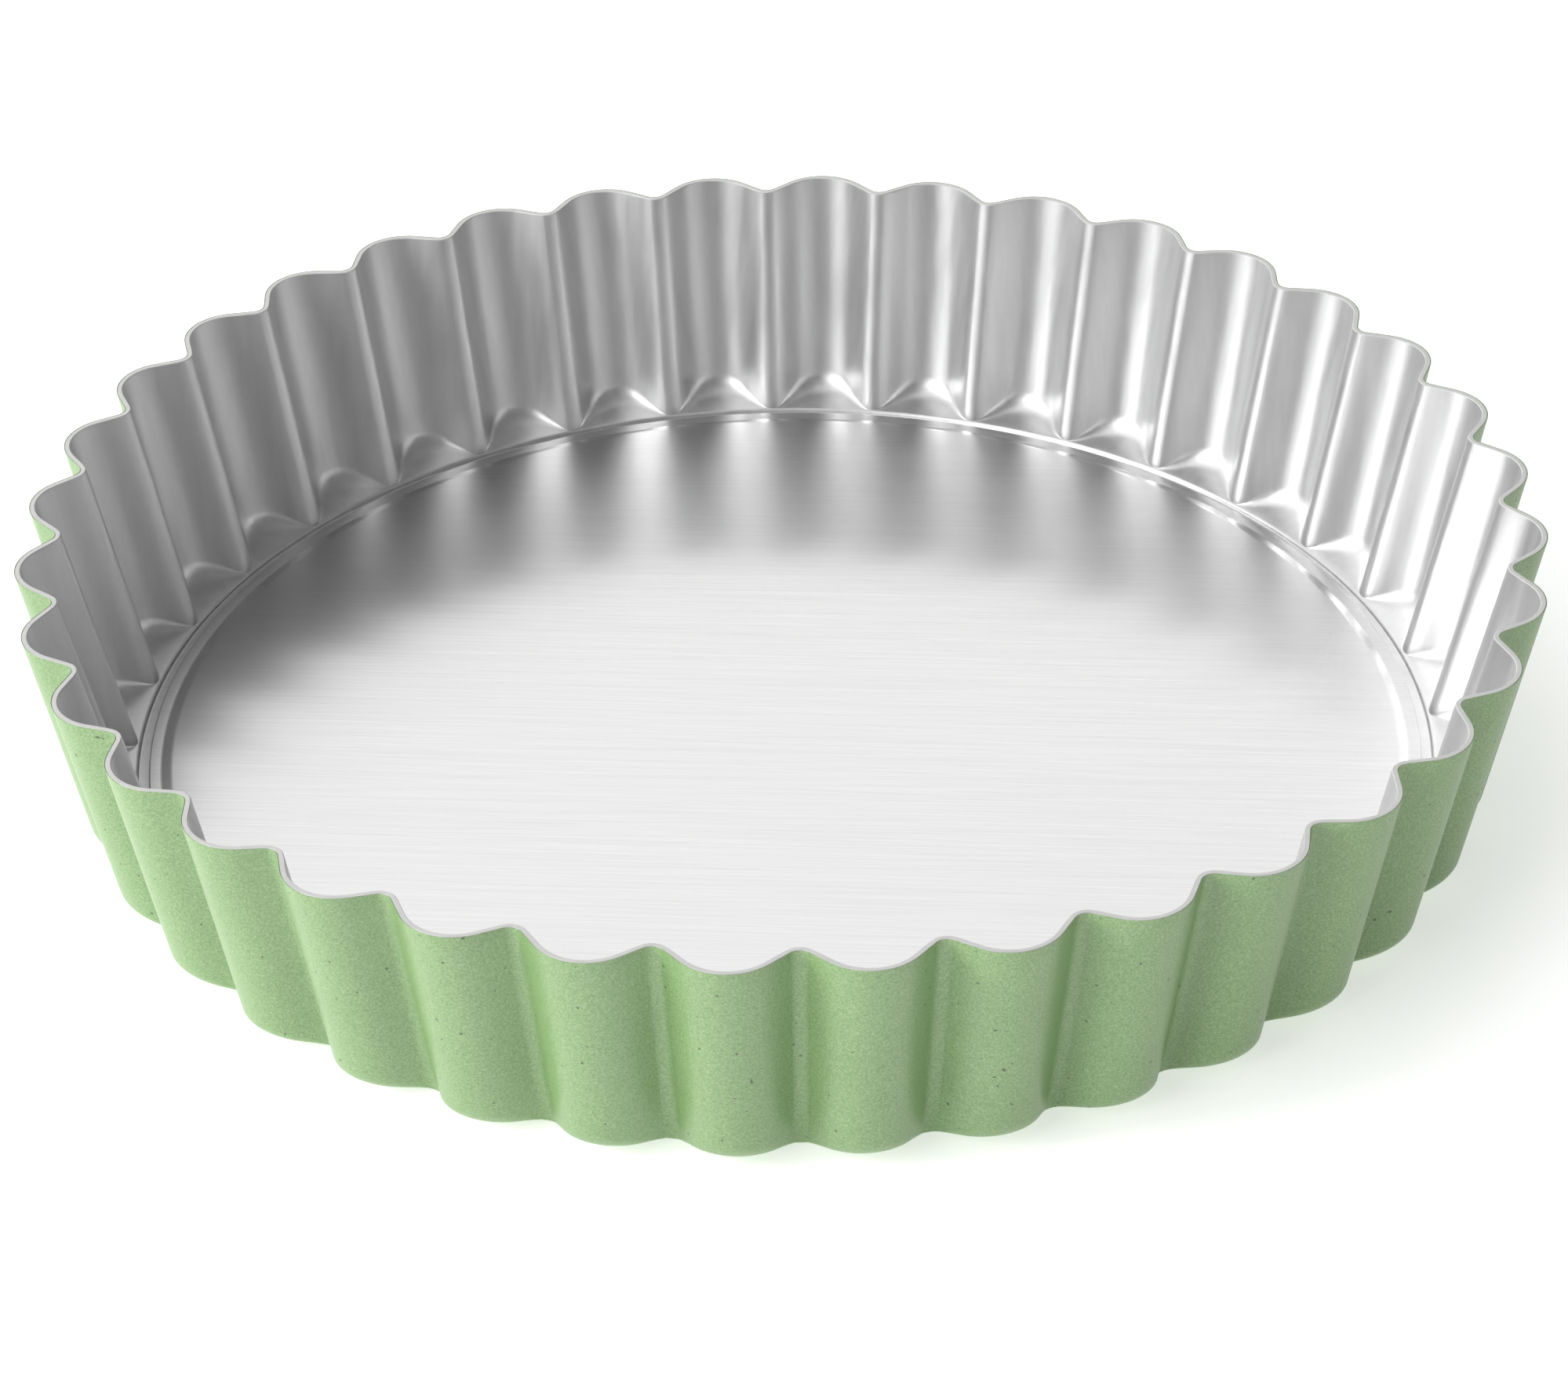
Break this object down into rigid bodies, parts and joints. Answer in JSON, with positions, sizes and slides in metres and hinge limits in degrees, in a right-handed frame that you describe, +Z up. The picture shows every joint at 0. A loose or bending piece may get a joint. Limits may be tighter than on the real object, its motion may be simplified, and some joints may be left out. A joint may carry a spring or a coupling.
{
  "type": "tart pan",
  "caption": "Round fluted tart pan with a loose lift-out base: green outside, bare aluminium inside.",
  "frame": {"origin": "centre of the underside, in the plane the pan stands on", "axes": "+Z up through the open top; +X through a flute crest"},
  "size_m": [0.25, 0.25, 0.043],
  "materials": {
    "green_enamel": "satin",
    "bare_aluminium": "brushed"
  },
  "bodies": {
    "ring": {"fluted_ring": "green_enamel"},
    "base": {"loose_base": "bare_aluminium"}
  },
  "joints": [
    {"name": "base_lift", "type": "slide", "parent": "ring", "child": "base", "axis": [0, 0, 1], "range_m": [0, 0.06]}
  ]
}
